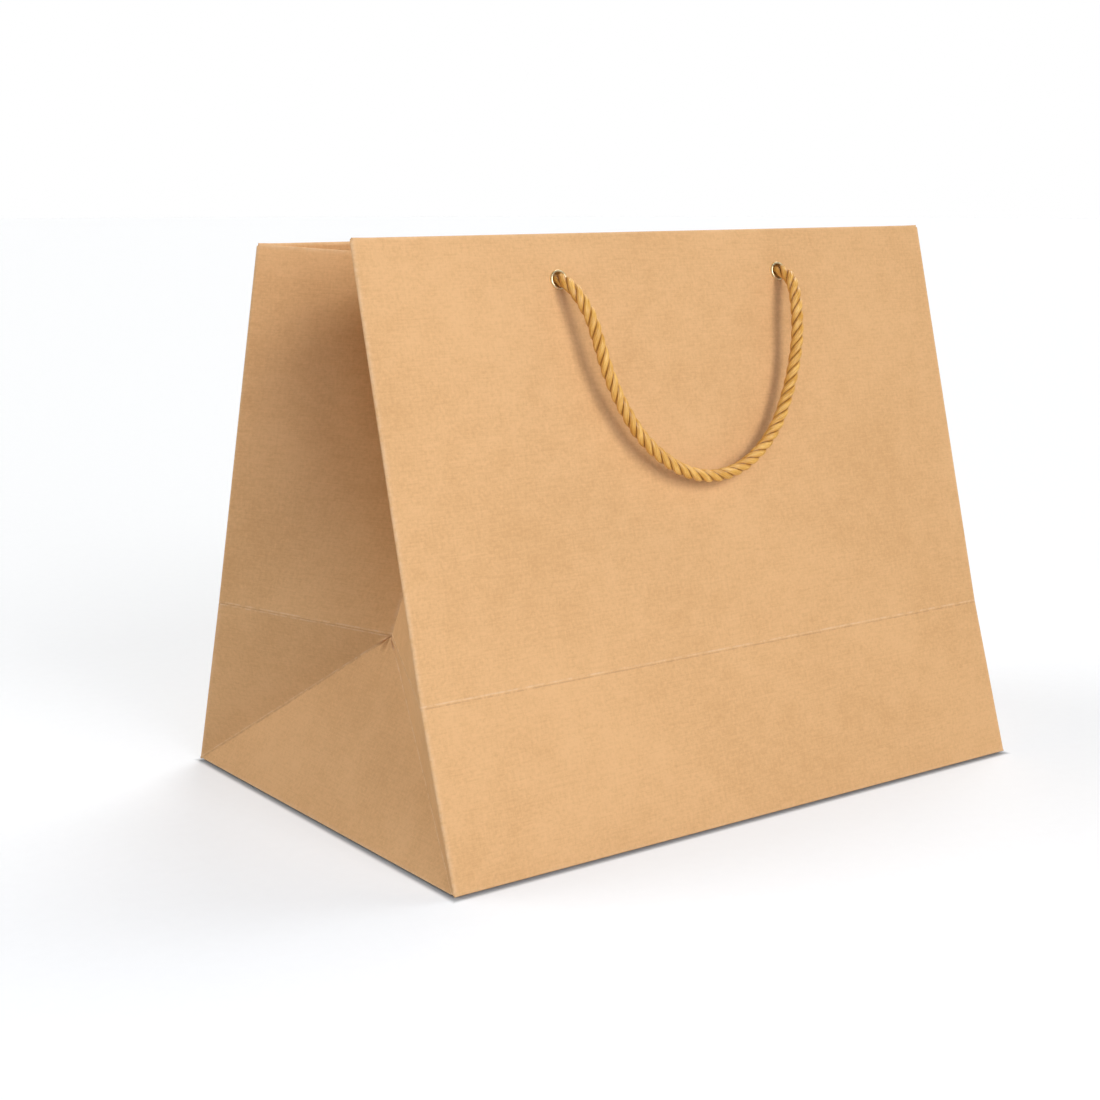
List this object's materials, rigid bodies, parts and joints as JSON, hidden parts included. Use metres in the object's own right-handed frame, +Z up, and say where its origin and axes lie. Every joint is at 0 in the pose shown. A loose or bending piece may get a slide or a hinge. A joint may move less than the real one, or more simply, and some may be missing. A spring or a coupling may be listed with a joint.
{
  "type": "paper gift bag",
  "caption": "Open kraft paper gift bag with leaning walls, folded side gussets, a flat bottom and twisted rope handles in brass eyelets.",
  "frame": {"origin": "centre of the bottom, on the surface that the bag stands on", "axes": "+X along the bag's width, +Z up, the front wall (the one with the lower crease) towards -Y"},
  "size_m": [0.32, 0.2216, 0.251],
  "materials": {
    "kraft_paper": "matt uncoated kraft with fine fibres",
    "grey_board": "matt unlined board",
    "brass": "bright, lightly polished",
    "gold_rope": "satin three-strand twisted cord"
  },
  "bodies": {
    "bottom": {"bottom_front_flap": "kraft_paper", "bottom_back_flap": "kraft_paper", "bottom_left_flap": "kraft_paper", "bottom_right_flap": "kraft_paper", "bottom_board": "grey_board", "front_lower_panel": "kraft_paper", "back_lower_panel": "kraft_paper", "left_gusset_base": "kraft_paper", "left_gusset_front_corner": "kraft_paper", "left_gusset_back_corner": "kraft_paper", "left_gusset_front_fold": "kraft_paper", "left_gusset_back_fold": "kraft_paper", "right_gusset_base": "kraft_paper", "right_gusset_front_corner": "kraft_paper", "right_gusset_back_corner": "kraft_paper", "right_gusset_front_fold": "kraft_paper", "right_gusset_back_fold": "kraft_paper"},
    "front_wall": {"front_panel": "kraft_paper", "front_stiffener": "grey_board", "front_hem": "kraft_paper", "front_left_eyelet": "brass", "front_left_washer": "brass", "front_left_knot": "gold_rope", "front_right_eyelet": "brass", "front_right_washer": "brass", "front_right_knot": "gold_rope"},
    "back_wall": {"back_panel": "kraft_paper", "back_stiffener": "grey_board", "back_hem": "kraft_paper", "back_left_eyelet": "brass", "back_left_washer": "brass", "back_left_knot": "gold_rope", "back_right_eyelet": "brass", "back_right_washer": "brass", "back_right_knot": "gold_rope"},
    "front_handle": {"front_handle": "gold_rope"},
    "back_handle": {"back_handle": "gold_rope"}
  },
  "joints": [
    {"name": "front_wall_fold", "type": "hinge", "parent": "bottom", "child": "front_wall", "pos_m": [0, -0.08872, 0.07109], "axis": [1, 0, 0], "range_deg": [-8, 14.7], "deforming": ["left_gusset_front_fold", "right_gusset_front_fold"]},
    {"name": "back_wall_fold", "type": "hinge", "parent": "bottom", "child": "back_wall", "pos_m": [0, 0.08543, 0.08159], "axis": [-1, 0, 0], "range_deg": [-8, 16.3], "deforming": ["left_gusset_back_fold", "right_gusset_back_fold"]},
    {"name": "front_handle_swing", "type": "hinge", "parent": "front_wall", "child": "front_handle", "pos_m": [0, -0.05484, 0.23175], "axis": [-1, 0, 0], "range_deg": [0, 165]},
    {"name": "back_handle_swing", "type": "hinge", "parent": "back_wall", "child": "back_handle", "pos_m": [0, 0.05101, 0.2278], "axis": [1, 0, 0], "range_deg": [0, 165]}
  ]
}
